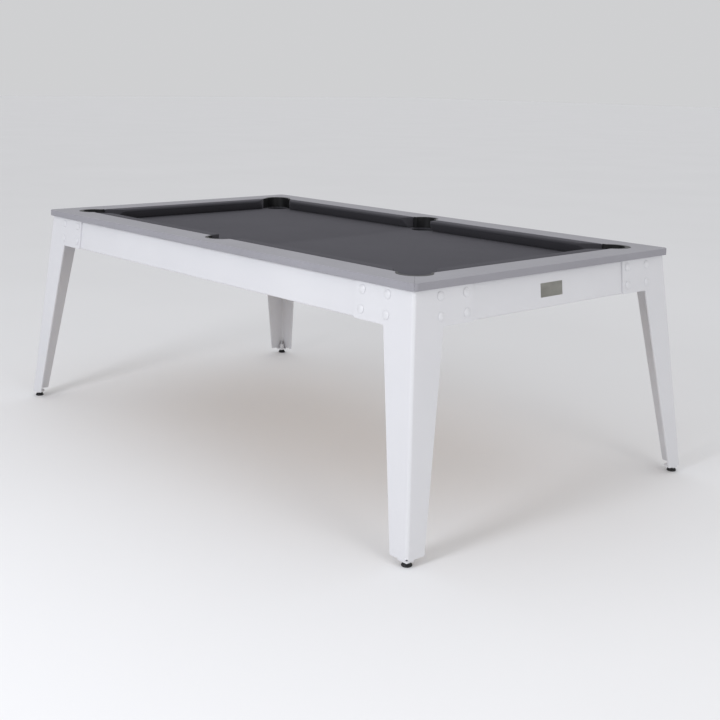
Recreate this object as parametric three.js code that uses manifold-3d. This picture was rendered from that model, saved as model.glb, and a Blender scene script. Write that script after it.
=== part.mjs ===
// A dining-height pool table: four splayed legs folded from plate, a skirt of folded steel aprons,
// a slate bed on cross beams, mitred rail boards, cushions, six drop pockets and levelling feet.
// Millimetres, +Z up, origin on the floor under the middle of the table, length along X.
// The end with the nameplate is the front (+X); left and right are seen from that end.

import * as THREE from "three";
import { mergeVertices } from "three/addons/utils/BufferGeometryUtils.js";
import Module from "manifold-3d";

const wasm = await Module();
wasm.setup();

// ---- Driving dimensions -------------------------------------------------------------------------

const TABLE_LENGTH = 2028; // over the rail boards
const TABLE_WIDTH = 1164;
const TABLE_HEIGHT = 750;
const GAP = 0.3; // clearance between pieces that touch
const WELD = 0.5; // how far two bodies of one welded or moulded piece run into each other
const OVERCUT = 10; // how far a cut runs past the piece that it cuts

const RAIL_THICKNESS = 22; // the board that shows above the legs
const RAIL_WIDTH = 100;
const RAIL_CORNER_RADIUS = 16;
const RAIL_CORE_INSET = 52; // the core under the board starts this far from the outer edge

const CUSHION_WIDTH = 52; // from the rail board to the nose
const CUSHION_NOSE_RADIUS = 6;
const CUSHION_NOSE_TURN = 1.15 * Math.PI; // the round nose meets the face at this angle
const CUSHION_UNDERCUT = 3; // the face falls back this much just under the nose
const CUSHION_FOOT = 26; // width of the cushion where it meets the cloth
const BED_DROP = 42; // from the top of the rails down to the cloth
const CLOTH_THICKNESS = 1.2;
const SLATE_THICKNESS = 19;
const BOARD_THICKNESS = 18;
const BED_INSET = 50; // edge of the slate from the outer edge of the rails

const SPLAY = 0.0952; // legs and aprons lean out this much per unit of height
const LEG_INSET = 10.5; // top of the leg from the outer edge of the rails
const LEG_PLATE = 5;
const LEG_TOE_Z = 21.6; // lower edge of the leg plates
const FOLD_RADIUS = 11;
const GUSSET_REACH = 226; // the wings bolted to the aprons, from the fold
const GUSSET_DROP = 106;
const KNEE_WIDTH = 115; // leg width just under the wings
const TOE_WIDTH = 66.5;
const KNEE_RADIUS = 6;
const TOE_CHAMFER = 2.5;

const APRON_PLATE = 3;
const APRON_LIP = 30; // the folded lips at the top and bottom of an apron
const APRON_CORNER_RELIEF = 8; // an apron stops this short of the fold in the leg
const APRON_MITRE_GAP = 0.5;

const BOLT_COLUMNS = [98.5, 199.5]; // from the fold, at the top of the leg
const BOLT_ROWS = [23, 79]; // below the top of the leg
const BOLT_HEAD_RADIUS = 13;
const BOLT_HEAD_HEIGHT = 4.6;
const BOLT_SHOULDER = { radius: 9.1, height: 3.7 }; // where the dome turns down to its rim
const BOLT_SHANK_RADIUS = 4.6;
const BOLT_HOLE_RADIUS = 5.5;
const NUT_RADIUS = 9.5;
const NUT_HEIGHT = 8;
const CLAMP_PLATE = { width: 140, height: 88, thickness: 5 };

const BEAM_POSITIONS = [-700, -250, 250, 700];
const BEAM_WIDTH = 40;
const BEAM_WALL = 3;
const BEAM_END_INSET = 16; // from the outer edge of the rails

const RAIL_CUT_RADIUS = 54; // the cut in the rail boards
const CORNER_CUT_INSET = 124; // its centre from both outer edges
const SIDE_CUT_INSET = 104;
const LINER_BORE_RADIUS = 46.5; // the opening, straight above the cup
const LINER_EASE = 2; // the edge of the opening is eased by this much
const CORNER_CUP_INSET = 131; // middle of the cup from both outer edges
const SIDE_CUP_INSET = 107;
const CUP_RADIUS = 45.5;
const CUP_WALL = 2.5;
const CUP_CORNER = 6; // the bevel round the floor of the cup
const CUP_FLANGE_RADIUS = 60;
const CUP_FLANGE_THICKNESS = 3;
const CUP_FLOOR_Z = 632;
const CUP_HOLE_RADIUS = 46;

const CORNER_JAW = { back: 185, nose: 234, radius: 26 }; // from the outer corner, along the rail
const SIDE_JAW = { back: 54, nose: 67, radius: 18 }; // from the middle of the long rail

const FOOT_INSET = 20.3; // foot axis from the outer faces at the toe of the leg
const FOOT_PLATE_SIZE = 36;
const FOOT_PLATE_THICKNESS = 6;
const SLEEVE_RADIUS = 10;
const SLEEVE_BOTTOM_Z = 14;
const SLEEVE_TOP_Z = 40;
const STUD_RADIUS = 5;
const STUD_TOP_Z = 54;
const STUD_BOTTOM_Z = 5;
const STUD_HEX = { radius: 4.75, height: 10 };
const PAD_HEIGHT = 13;
const PAD_RADIUS = 15.5;
const PAD_NECK_RADIUS = 9.5;
const PAD_CHAMFER = 2;
const PAD_RIM_Z = 4.5; // the cone of the pad starts at this height

const NAMEPLATE = { width: 100, height: 42, thickness: 1.5, drop: 53.5 };

const POCKET_SEGMENTS = 32; // sides of the round cuts and turned pieces
const CUP_SEGMENTS = 16;
const FOOT_SEGMENTS = 14;
const BOLT_SEGMENTS = 8;
const MERGE_DISTANCE = 1e-4; // vertices closer than this are one vertex

// ---- Levels worked out from them ----------------------------------------------------------------

const RAIL_UNDERSIDE = TABLE_HEIGHT - RAIL_THICKNESS;
const FRAME_TOP = RAIL_UNDERSIDE - GAP;
const CLOTH_TOP = TABLE_HEIGHT - BED_DROP;
const SLATE_TOP = CLOTH_TOP - CLOTH_THICKNESS - GAP;
const SLATE_BOTTOM = SLATE_TOP - SLATE_THICKNESS;
const BOARD_TOP = SLATE_BOTTOM - GAP;
const BOARD_BOTTOM = BOARD_TOP - BOARD_THICKNESS;
const APRON_BOTTOM = FRAME_TOP - GUSSET_DROP;
const BEAM_BOTTOM = APRON_BOTTOM + APRON_PLATE + GAP;
const BEAM_TOP = BOARD_BOTTOM - GAP;
const LEG_DROP = FRAME_TOP - LEG_TOE_Z;
const APRON_INSET = LEG_INSET + LEG_PLATE + GAP;
const SPLAY_ANGLE = Math.atan(SPLAY);
const NOSE_INSET = RAIL_WIDTH + CUSHION_WIDTH;
const FOOT_OFFSET = SPLAY * LEG_DROP - FOOT_INSET; // foot axis beyond the top of the fold

const HALF_LENGTH = TABLE_LENGTH / 2;
const HALF_WIDTH = TABLE_WIDTH / 2;

// Each side is drawn with its outer edge towards +Y and then turned into place.
// plus and minus name the ends of the side that its own +X and -X point to.
const SIDES = [
  { name: "right", turn: 0, run: HALF_LENGTH, depth: HALF_WIDTH, plus: "front", minus: "rear" },
  { name: "left", turn: Math.PI, run: HALF_LENGTH, depth: HALF_WIDTH, plus: "rear", minus: "front" },
  { name: "front", turn: -Math.PI / 2, run: HALF_WIDTH, depth: HALF_LENGTH, plus: "left", minus: "right" },
  { name: "rear", turn: Math.PI / 2, run: HALF_WIDTH, depth: HALF_LENGTH, plus: "right", minus: "left" },
];

const CORNERS = [
  { name: "front_left", sx: 1, sy: -1 },
  { name: "front_right", sx: 1, sy: 1 },
  { name: "rear_left", sx: -1, sy: -1 },
  { name: "rear_right", sx: -1, sy: 1 },
];

// ---- Materials ----------------------------------------------------------------------------------

function finish(color, roughness, metalness) {
  return new THREE.MeshStandardMaterial({ color, roughness, metalness });
}

const whitePowderCoat = finish(0xeeeef4, 0.5, 0.0);
const greyLaminate = finish(0x9d9ca3, 0.45, 0.0);
const charcoalCloth = finish(0x46454a, 0.95, 0.0);
const slateStone = finish(0x4a4d52, 0.8, 0.0);
const birchPly = finish(0xc9a877, 0.7, 0.0);
const blackPlastic = finish(0x0e0e0f, 0.4, 0.0);
const zincSteel = finish(0xb9bcc0, 0.35, 1.0);
const brushedMetal = finish(0xb4b2ab, 0.3, 1.0);

// ---- Solids -------------------------------------------------------------------------------------

function solidOf(geometry) {
  const bare = new THREE.BufferGeometry();
  bare.setAttribute("position", geometry.getAttribute("position"));
  if (geometry.index) bare.setIndex(geometry.index);
  const merged = mergeVertices(bare, MERGE_DISTANCE);
  return new wasm.Manifold(
    new wasm.Mesh({
      numProp: 3,
      vertProperties: merged.attributes.position.array,
      triVerts: new Uint32Array(merged.index.array),
    }),
  );
}

function geometryOf(solid) {
  const mesh = solid.getMesh();
  const geometry = new THREE.BufferGeometry();
  geometry.setAttribute("position", new THREE.BufferAttribute(mesh.vertProperties, 3));
  geometry.setIndex(new THREE.BufferAttribute(mesh.triVerts, 1));
  geometry.computeVertexNormals();
  return geometry;
}

function meshOf(name, solid, material) {
  const mesh = new THREE.Mesh(geometryOf(solid), material);
  mesh.name = name;
  return mesh;
}

// A flat outline in X and Y raised from z0 to z1.
function prism(shape, z0, z1, curveSegments = 6) {
  const geometry = new THREE.ExtrudeGeometry(shape, { depth: z1 - z0, bevelEnabled: false, curveSegments });
  geometry.translate(0, 0, z0);
  return geometry;
}

// An outline given as (along Y, up Z), run along X from x0 to x1.
function runAlongX(shape, x0, x1, curveSegments = 4) {
  const geometry = new THREE.ExtrudeGeometry(shape, { depth: x1 - x0, bevelEnabled: false, curveSegments });
  geometry.rotateX(Math.PI / 2);
  geometry.rotateZ(Math.PI / 2);
  geometry.translate(x0, 0, 0);
  return geometry;
}

function polygon(points) {
  return new THREE.Shape(points.map(([x, y]) => new THREE.Vector2(x, y)));
}

function rectangle(x0, x1, y0, y1) {
  return polygon([[x0, y0], [x1, y0], [x1, y1], [x0, y1]]);
}

function block(x0, x1, y0, y1, z0, z1) {
  return solidOf(prism(rectangle(x0, x1, y0, y1), z0, z1));
}

// An upright round bar centred on (x, y).
function roundBar(x, y, z0, z1, radius, segments) {
  const geometry = new THREE.CylinderGeometry(radius, radius, z1 - z0, segments);
  geometry.rotateX(Math.PI / 2);
  geometry.translate(x, y, (z0 + z1) / 2);
  return solidOf(geometry);
}

// A turned piece about the Z axis, from a profile of [radius, z] points.
function turned(profile, segments) {
  const geometry = new THREE.LatheGeometry(profile.map(([r, z]) => new THREE.Vector2(r, z)), segments);
  geometry.rotateX(Math.PI / 2);
  return solidOf(geometry);
}

// The part of a side between the 45-degree lines that run in from its two outer corners.
function mitreWedge(run, depth, inset, relief, gap) {
  const outer = depth - inset;
  const end = run - inset;
  const inward = depth / 2;
  const shape = polygon([
    [end - relief, depth + OVERCUT],
    [end - relief, outer - relief + gap],
    [end - inward - gap, outer - inward],
    [inward + gap - end, outer - inward],
    [relief - end, outer - relief + gap],
    [relief - end, depth + OVERCUT],
  ]);
  return solidOf(prism(shape, 0, TABLE_HEIGHT + OVERCUT));
}

// ---- Bolted joints between the legs and the aprons ----------------------------------------------

// A plane that leans like the legs: X along the side, Y straight out of the plate, Z up the plate.
function plateFrame(x, outerY, drop) {
  const frame = new THREE.Matrix4().makeRotationX(SPLAY_ANGLE);
  return frame.setPosition(x, outerY + SPLAY * drop, FRAME_TOP - drop);
}

const BOLT_SET_MIDDLE = (BOLT_COLUMNS[0] + BOLT_COLUMNS[1]) / 2;
const BOLT_SET_DROP = (BOLT_ROWS[0] + BOLT_ROWS[1]) / 2;
const COLUMN_SPREAD = (BOLT_COLUMNS[1] - BOLT_COLUMNS[0]) / 2;
const ROW_SPREAD = (BOLT_ROWS[1] - BOLT_ROWS[0]) / 2 / Math.cos(SPLAY_ANGLE);

function boltPlaces() {
  return [-1, 1].flatMap((a) => [-1, 1].map((b) => [a * COLUMN_SPREAD, b * ROW_SPREAD]));
}

function boltHoles(frame) {
  const reach = LEG_PLATE + APRON_PLATE + OVERCUT;
  const holes = boltPlaces().map(([x, z]) => {
    const drill = new THREE.CylinderGeometry(BOLT_HOLE_RADIUS, BOLT_HOLE_RADIUS, 2 * reach, BOLT_SEGMENTS);
    drill.translate(x, 0, z);
    drill.applyMatrix4(frame);
    return solidOf(drill);
  });
  return holes.reduce((all, hole) => all.add(hole));
}

// Four dome-head bolts, the clamp plate behind the apron and the nuts on it.
function boltSet() {
  const stack = LEG_PLATE + APRON_PLATE / Math.cos(SPLAY_ANGLE) + 3 * GAP;
  const plateFace = -stack;
  const plateBack = plateFace - CLAMP_PLATE.thickness;
  const halfW = CLAMP_PLATE.width / 2;
  const halfH = CLAMP_PLATE.height / 2;
  let set = block(-halfW, halfW, plateBack, plateFace, -halfH, halfH);
  const profile = [
    [0, plateBack - NUT_HEIGHT / 2],
    [BOLT_SHANK_RADIUS, plateBack - NUT_HEIGHT / 2],
    [BOLT_SHANK_RADIUS, GAP],
    [BOLT_HEAD_RADIUS, GAP],
    [BOLT_SHOULDER.radius, BOLT_SHOULDER.height],
    [0, BOLT_HEAD_HEIGHT],
  ];
  const outline = profile.map(([r, y]) => new THREE.Vector2(r, y));
  for (const [x, z] of boltPlaces()) {
    const bolt = new THREE.LatheGeometry(outline, BOLT_SEGMENTS);
    bolt.translate(x, 0, z);
    const nut = new THREE.CylinderGeometry(NUT_RADIUS, NUT_RADIUS, NUT_HEIGHT + WELD, 6);
    nut.translate(x, plateBack - (NUT_HEIGHT - WELD) / 2, z);
    set = set.add(solidOf(bolt)).add(solidOf(nut));
  }
  return set;
}

// ---- Legs ---------------------------------------------------------------------------------------
// A leg is drawn at the (+X, +Y) corner with its origin at the top of the fold, on the outside.

// How far the uncut flanges reach from the fold, before their outline is cut.
const FLANGE_BLANK = GUSSET_REACH + SPLAY * LEG_DROP + OVERCUT;

// Two flanges at right angles with a rounded fold between them.
function foldedAngle() {
  const reach = FLANGE_BLANK;
  const inside = FOLD_RADIUS - LEG_PLATE;
  const shape = new THREE.Shape();
  shape.moveTo(-reach, 0);
  shape.lineTo(-FOLD_RADIUS, 0);
  shape.absarc(-FOLD_RADIUS, -FOLD_RADIUS, FOLD_RADIUS, Math.PI / 2, 0, true);
  shape.lineTo(0, -reach);
  shape.lineTo(-LEG_PLATE, -reach);
  shape.lineTo(-LEG_PLATE, -FOLD_RADIUS);
  shape.absarc(-FOLD_RADIUS, -FOLD_RADIUS, inside, 0, Math.PI / 2, false);
  shape.lineTo(-reach, -LEG_PLATE);
  const geometry = prism(shape, -LEG_DROP, 0);
  const lean = new THREE.Matrix4().makeShear(0, 0, 0, 0, -SPLAY, -SPLAY);
  geometry.applyMatrix4(lean);
  return solidOf(geometry);
}

// Everything beside one flange that isn't leg: outside its wing, knee, tapered edge and toe.
function flangeWaste() {
  const knee = SPLAY * GUSSET_DROP - KNEE_WIDTH;
  const toe = SPLAY * LEG_DROP - TOE_WIDTH;
  const taper = (toe - knee) / (LEG_DROP - GUSSET_DROP);
  const far = -FLANGE_BLANK - OVERCUT;
  const below = -LEG_DROP - OVERCUT;
  const shape = new THREE.Shape();
  shape.moveTo(-GUSSET_REACH, OVERCUT);
  shape.lineTo(-GUSSET_REACH, -GUSSET_DROP + KNEE_RADIUS);
  shape.quadraticCurveTo(-GUSSET_REACH, -GUSSET_DROP, -GUSSET_REACH + KNEE_RADIUS, -GUSSET_DROP);
  shape.lineTo(knee - KNEE_RADIUS, -GUSSET_DROP);
  shape.quadraticCurveTo(knee, -GUSSET_DROP, knee + taper * KNEE_RADIUS, -GUSSET_DROP - KNEE_RADIUS);
  shape.lineTo(toe - taper * TOE_CHAMFER, -LEG_DROP + TOE_CHAMFER);
  shape.lineTo(toe + TOE_CHAMFER, -LEG_DROP);
  shape.lineTo(toe + TOE_CHAMFER, below);
  shape.lineTo(far, below);
  shape.lineTo(far, OVERCUT);
  const width = 2 * (SPLAY * LEG_DROP + OVERCUT);
  const geometry = new THREE.ExtrudeGeometry(shape, { depth: width, bevelEnabled: false, curveSegments: 3 });
  geometry.rotateX(Math.PI / 2);
  geometry.translate(0, width / 2, 0);
  return geometry;
}

// The bolt pattern on the flange that faces +Y, and the same pattern on the flange that faces +X.
function legBoltHoles() {
  const onLong = plateFrame(-BOLT_SET_MIDDLE, 0, BOLT_SET_DROP);
  onLong.premultiply(new THREE.Matrix4().makeTranslation(0, 0, -FRAME_TOP));
  const swap = new THREE.Matrix4().makeRotationZ(-Math.PI / 2);
  const onEnd = plateFrame(BOLT_SET_MIDDLE, 0, BOLT_SET_DROP);
  onEnd.premultiply(new THREE.Matrix4().makeTranslation(0, 0, -FRAME_TOP)).premultiply(swap);
  return boltHoles(onLong).add(boltHoles(onEnd));
}

// The square plate welded across the toe, with the threaded sleeve for the levelling foot.
function footSocket() {
  const half = FOOT_PLATE_SIZE / 2;
  const at = FOOT_OFFSET;
  const toe = -LEG_DROP;
  const plate = block(at - half, at + half, at - half, at + half, toe - FOOT_PLATE_THICKNESS, toe + WELD);
  const bottom = SLEEVE_BOTTOM_Z - FRAME_TOP;
  const top = SLEEVE_TOP_Z - FRAME_TOP;
  const sleeve = roundBar(at, at, bottom, top, SLEEVE_RADIUS, FOOT_SEGMENTS);
  return plate.add(sleeve);
}

function legSolid() {
  const waste = flangeWaste();
  const otherWaste = waste.clone().rotateZ(Math.PI / 2);
  const bottom = SLEEVE_BOTTOM_Z - FRAME_TOP - OVERCUT;
  const top = SLEEVE_TOP_Z - FRAME_TOP + OVERCUT;
  const thread = roundBar(FOOT_OFFSET, FOOT_OFFSET, bottom, top, STUD_RADIUS + GAP, FOOT_SEGMENTS);
  return foldedAngle()
    .subtract(solidOf(waste))
    .subtract(solidOf(otherWaste))
    .subtract(legBoltHoles())
    .add(footSocket())
    .subtract(thread);
}

// ---- Levelling feet -----------------------------------------------------------------------------

function footPad() {
  const socket = STUD_RADIUS + GAP;
  return turned(
    [
      [0, 0],
      [PAD_RADIUS - PAD_CHAMFER, 0],
      [PAD_RADIUS, PAD_CHAMFER],
      [PAD_RADIUS, PAD_RIM_Z],
      [PAD_NECK_RADIUS, PAD_HEIGHT],
      [socket, PAD_HEIGHT],
      [socket, STUD_BOTTOM_Z - GAP],
      [0, STUD_BOTTOM_Z - GAP],
    ],
    FOOT_SEGMENTS,
  );
}

// A threaded stud with a hexagon at its top for a spanner.
function footStud() {
  const hexBottom = STUD_TOP_Z - STUD_HEX.height;
  const rod = roundBar(0, 0, STUD_BOTTOM_Z, hexBottom + WELD, STUD_RADIUS, FOOT_SEGMENTS);
  const hex = roundBar(0, 0, hexBottom, STUD_TOP_Z, STUD_HEX.radius, 6);
  return rod.add(hex);
}

// ---- Skirt and beams ----------------------------------------------------------------------------

// A folded channel, open inwards, that leans out like the legs.
function apronSolid(run, depth) {
  const height = GUSSET_DROP;
  const foot = SPLAY * height;
  const wall = APRON_PLATE;
  const profile = polygon([
    [0, 0],
    [-APRON_LIP, 0],
    [-APRON_LIP, -wall],
    [SPLAY * wall - wall, -wall],
    [SPLAY * (height - wall) - wall, wall - height],
    [foot - APRON_LIP, wall - height],
    [foot - APRON_LIP, -height],
    [foot, -height],
  ]);
  const geometry = runAlongX(profile, -run, run);
  geometry.translate(0, depth - APRON_INSET, FRAME_TOP);
  let apron = solidOf(geometry);
  apron = apron.intersect(mitreWedge(run, depth, APRON_INSET, APRON_CORNER_RELIEF, APRON_MITRE_GAP));
  for (const end of [-1, 1]) {
    const x = end * (run - LEG_INSET - BOLT_SET_MIDDLE);
    apron = apron.subtract(boltHoles(plateFrame(x, depth - LEG_INSET, BOLT_SET_DROP)));
  }
  return apron;
}

// A rectangular tube across the table, resting on the lower lips of the long aprons.
function beamSolid() {
  const half = HALF_WIDTH - BEAM_END_INSET;
  const w = BEAM_WIDTH / 2;
  const tube = block(-w, w, -half, half, BEAM_BOTTOM, BEAM_TOP);
  const hollow = block(
    BEAM_WALL - w,
    w - BEAM_WALL,
    -half - OVERCUT,
    half + OVERCUT,
    BEAM_BOTTOM + BEAM_WALL,
    BEAM_TOP - BEAM_WALL,
  );
  return tube.subtract(hollow);
}

// ---- Bed ----------------------------------------------------------------------------------------

function pocketCentres(cornerInset, sideInset) {
  const x = HALF_LENGTH - cornerInset;
  const y = HALF_WIDTH - cornerInset;
  const side = HALF_WIDTH - sideInset;
  return [[x, -y], [x, y], [-x, -y], [-x, y], [0, -side], [0, side]];
}

// A layer of the bed, with a round hole for each pocket cup.
function bedLayer(z0, z1) {
  const x = HALF_LENGTH - BED_INSET;
  const y = HALF_WIDTH - BED_INSET;
  let layer = block(-x, x, -y, y, z0, z1);
  for (const [cx, cy] of pocketCentres(CORNER_CUP_INSET, SIDE_CUP_INSET)) {
    layer = layer.subtract(roundBar(cx, cy, z0 - OVERCUT, z1 + OVERCUT, CUP_HOLE_RADIUS, CUP_SEGMENTS));
  }
  return layer;
}

// ---- Rails and cushions -------------------------------------------------------------------------

function railSolid(run, depth, hasSidePocket) {
  const inner = depth - RAIL_WIDTH;
  const r = RAIL_CORNER_RADIUS;
  const outline = new THREE.Shape();
  outline.moveTo(-run, inner);
  outline.lineTo(run, inner);
  outline.lineTo(run, depth - r);
  outline.absarc(run - r, depth - r, r, 0, Math.PI / 2, false);
  outline.lineTo(-run + r, depth);
  outline.absarc(-run + r, depth - r, r, Math.PI / 2, Math.PI, false);
  const board = solidOf(prism(outline, RAIL_UNDERSIDE, TABLE_HEIGHT, 4));
  const coreEnd = run - RAIL_CORE_INSET;
  const coreBottom = CLOTH_TOP + GAP;
  const core = block(-coreEnd, coreEnd, inner, depth - RAIL_CORE_INSET, coreBottom, RAIL_UNDERSIDE + WELD);
  let rail = board.add(core);
  const cuts = [-1, 1].map((end) => [end * (run - CORNER_CUT_INSET), depth - CORNER_CUT_INSET]);
  if (hasSidePocket) cuts.push([0, depth - SIDE_CUT_INSET]);
  const cutTop = TABLE_HEIGHT + OVERCUT;
  for (const [x, y] of cuts) {
    rail = rail.subtract(roundBar(x, y, coreBottom - OVERCUT, cutTop, RAIL_CUT_RADIUS, POCKET_SEGMENTS));
  }
  return rail.intersect(mitreWedge(run, depth, 0, 0, GAP / 2));
}

// The section of a cushion: flat top, small round nose, face that falls back to the bed.
function cushionSection() {
  const top = BED_DROP - GAP;
  const r = CUSHION_NOSE_RADIUS;
  const shape = new THREE.Shape();
  shape.moveTo(0, GAP);
  shape.lineTo(-CUSHION_FOOT, GAP);
  shape.lineTo(CUSHION_UNDERCUT - CUSHION_WIDTH, top - 2 * r);
  shape.absarc(r - CUSHION_WIDTH, top - r, r, CUSHION_NOSE_TURN, Math.PI / 2, true);
  shape.lineTo(0, top);
  return shape;
}

// One end of a cushion in plan, from where its back and its nose stand along the side.
function jawPoints({ back, nose, radius }, backY, noseY, inward) {
  const share = radius / Math.hypot(back - nose, backY - noseY);
  return {
    back: [back, backY],
    facing: [nose + (back - nose) * share, noseY + (backY - noseY) * share],
    tip: [nose, noseY],
    front: [nose + inward * radius, noseY],
  };
}

// A cushion between two jaws, with its tips rounded into the facings.
function cushionSolid(depth, low, high) {
  const backY = depth - RAIL_WIDTH - GAP;
  const noseY = depth - NOSE_INSET;
  const bar = runAlongX(cushionSection(), low.back - OVERCUT, high.back + OVERCUT);
  bar.translate(0, backY, CLOTH_TOP);
  const start = jawPoints(low, backY, noseY, 1);
  const end = jawPoints(high, backY, noseY, -1);
  const outline = new THREE.Shape();
  outline.moveTo(low.back, depth);
  outline.lineTo(...start.back);
  outline.lineTo(...start.facing);
  outline.quadraticCurveTo(...start.tip, ...start.front);
  outline.lineTo(...end.front);
  outline.quadraticCurveTo(...end.tip, ...end.facing);
  outline.lineTo(...end.back);
  outline.lineTo(high.back, depth);
  const plan = prism(outline, CLOTH_TOP - OVERCUT, TABLE_HEIGHT + OVERCUT, 4);
  return solidOf(bar).intersect(solidOf(plan));
}

// ---- Pockets ------------------------------------------------------------------------------------

// The horseshoe that fills the space between the cut in the rails and the opening over the cup.
// Its open side faces +Y before it is turned. The opening's centre lies past the centre of the
// cut by shift, and the horseshoe reaches past it by keep.
function linerSolid(shift, keep) {
  const z0 = CLOTH_TOP + GAP;
  const below = z0 - OVERCUT;
  const above = TABLE_HEIGHT + OVERCUT;
  const body = roundBar(0, 0, z0, TABLE_HEIGHT, RAIL_CUT_RADIUS - GAP, POCKET_SEGMENTS);
  const opening = turned(
    [
      [0, below],
      [LINER_BORE_RADIUS, below],
      [LINER_BORE_RADIUS, TABLE_HEIGHT - LINER_EASE],
      [LINER_BORE_RADIUS + LINER_EASE + OVERCUT, above],
      [0, above],
    ],
    POCKET_SEGMENTS,
  );
  const span = RAIL_CUT_RADIUS + OVERCUT;
  return body.subtract(opening.translate(0, shift, 0)).subtract(block(-span, span, keep, span, below, above));
}

// The cup that catches the balls, with a flange screwed to the underside of the board.
function cupSolid() {
  const flangeTop = BOARD_BOTTOM - GAP;
  const inside = CUP_RADIUS - CUP_WALL;
  const profile = [
    [0, CUP_FLOOR_Z],
    [CUP_RADIUS - CUP_CORNER, CUP_FLOOR_Z],
    [CUP_RADIUS, CUP_FLOOR_Z + CUP_CORNER],
    [CUP_RADIUS, flangeTop - CUP_FLANGE_THICKNESS],
    [CUP_FLANGE_RADIUS, flangeTop - CUP_FLANGE_THICKNESS],
    [CUP_FLANGE_RADIUS, flangeTop],
    [CUP_RADIUS, flangeTop],
    [CUP_RADIUS, SLATE_TOP],
    [inside, SLATE_TOP],
    [inside, CUP_FLOOR_Z + CUP_WALL],
    [0, CUP_FLOOR_Z + CUP_WALL],
  ];
  return turned(profile, CUP_SEGMENTS);
}

// ---- Assembly -----------------------------------------------------------------------------------

const table = new THREE.Group();

function addLegsAndFeet() {
  const leg = legSolid();
  const pad = footPad();
  const stud = footStud();
  for (const { name, sx, sy } of CORNERS) {
    const corner = new THREE.Group();
    corner.position.set(sx * (HALF_LENGTH - LEG_INSET), sy * (HALF_WIDTH - LEG_INSET), FRAME_TOP);
    corner.scale.set(sx, sy, 1);
    corner.add(meshOf(`leg_${name}`, leg, whitePowderCoat));
    const foot = new THREE.Group();
    foot.position.set(FOOT_OFFSET, FOOT_OFFSET, -FRAME_TOP);
    foot.add(meshOf(`foot_pad_${name}`, pad, blackPlastic));
    foot.add(meshOf(`foot_stud_${name}`, stud, zincSteel));
    corner.add(foot);
    table.add(corner);
  }
}

function addSides() {
  const bolts = boltSet();
  for (const { name, turn, run, depth, plus, minus } of SIDES) {
    const side = new THREE.Group();
    side.rotation.z = turn;
    const isLong = run > depth;
    side.add(meshOf(`apron_${name}`, apronSolid(run, depth), whitePowderCoat));
    side.add(meshOf(`rail_${name}`, railSolid(run, depth, isLong), greyLaminate));
    for (const [end, endName] of [[1, plus], [-1, minus]]) {
      const x = end * (run - LEG_INSET - BOLT_SET_MIDDLE);
      const set = meshOf(`bolts_${name}_${endName}`, bolts, whitePowderCoat);
      set.applyMatrix4(plateFrame(x, depth - LEG_INSET, BOLT_SET_DROP));
      side.add(set);
    }
    const corner = (end) => ({
      back: end * (run - CORNER_JAW.back),
      nose: end * (run - CORNER_JAW.nose),
      radius: CORNER_JAW.radius,
    });
    const middle = (end) => ({ back: end * SIDE_JAW.back, nose: end * SIDE_JAW.nose, radius: SIDE_JAW.radius });
    if (isLong) {
      side.add(meshOf(`cushion_${name}_${plus}`, cushionSolid(depth, middle(1), corner(1)), charcoalCloth));
      side.add(meshOf(`cushion_${name}_${minus}`, cushionSolid(depth, corner(-1), middle(-1)), charcoalCloth));
    } else {
      side.add(meshOf(`cushion_${name}`, cushionSolid(depth, corner(-1), corner(1)), charcoalCloth));
    }
    table.add(side);
  }
}

function addBed() {
  table.add(meshOf("bed_cloth", bedLayer(SLATE_TOP + GAP, CLOTH_TOP), charcoalCloth));
  table.add(meshOf("slate", bedLayer(SLATE_BOTTOM, SLATE_TOP), slateStone));
  table.add(meshOf("bed_board", bedLayer(BOARD_BOTTOM, BOARD_TOP), birchPly));
  BEAM_POSITIONS.forEach((x, i) => {
    const beam = meshOf(`cross_beam_${i + 1}`, beamSolid(), whitePowderCoat);
    beam.position.x = x;
    table.add(beam);
  });
}

function addPockets() {
  const names = ["front_left", "front_right", "rear_left", "rear_right", "middle_left", "middle_right"];
  const linerPlaces = pocketCentres(CORNER_CUT_INSET, SIDE_CUT_INSET);
  const cupPlaces = pocketCentres(CORNER_CUP_INSET, SIDE_CUP_INSET);
  const behind = CORNER_CUT_INSET - RAIL_WIDTH;
  const earReach = (Math.sqrt(RAIL_CUT_RADIUS ** 2 - behind ** 2) - behind) / Math.SQRT2;
  const cornerLiner = linerSolid((CORNER_CUP_INSET - CORNER_CUT_INSET) * Math.SQRT2, earReach);
  const sideLiner = linerSolid(SIDE_CUP_INSET - SIDE_CUT_INSET, RAIL_WIDTH - SIDE_CUT_INSET);
  const cup = cupSolid();
  names.forEach((name, i) => {
    const isCorner = i < 4;
    const [x, y] = linerPlaces[i];
    const liner = meshOf(`pocket_liner_${name}`, isCorner ? cornerLiner : sideLiner, blackPlastic);
    liner.position.set(x, y, 0);
    const towardsMiddle = isCorner ? Math.atan2(-Math.sign(y), -Math.sign(x)) : Math.atan2(-Math.sign(y), 0);
    liner.rotation.z = towardsMiddle - Math.PI / 2;
    table.add(liner);
    const cupMesh = meshOf(`pocket_cup_${name}`, cup, blackPlastic);
    cupMesh.position.set(cupPlaces[i][0], cupPlaces[i][1], 0);
    table.add(cupMesh);
  });
}

function addNameplate() {
  const { width, height, thickness, drop } = NAMEPLATE;
  const plate = block(-width / 2, width / 2, GAP, GAP + thickness, -height / 2, height / 2);
  const end = new THREE.Group();
  end.rotation.z = -Math.PI / 2;
  const mesh = meshOf("nameplate", plate, brushedMetal);
  mesh.applyMatrix4(plateFrame(0, HALF_LENGTH - APRON_INSET, drop));
  end.add(mesh);
  table.add(end);
}

addLegsAndFeet();
addSides();
addBed();
addPockets();
addNameplate();

export default table;
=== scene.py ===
import math

import bmesh
import bpy
from mathutils import Matrix, Vector


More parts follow.
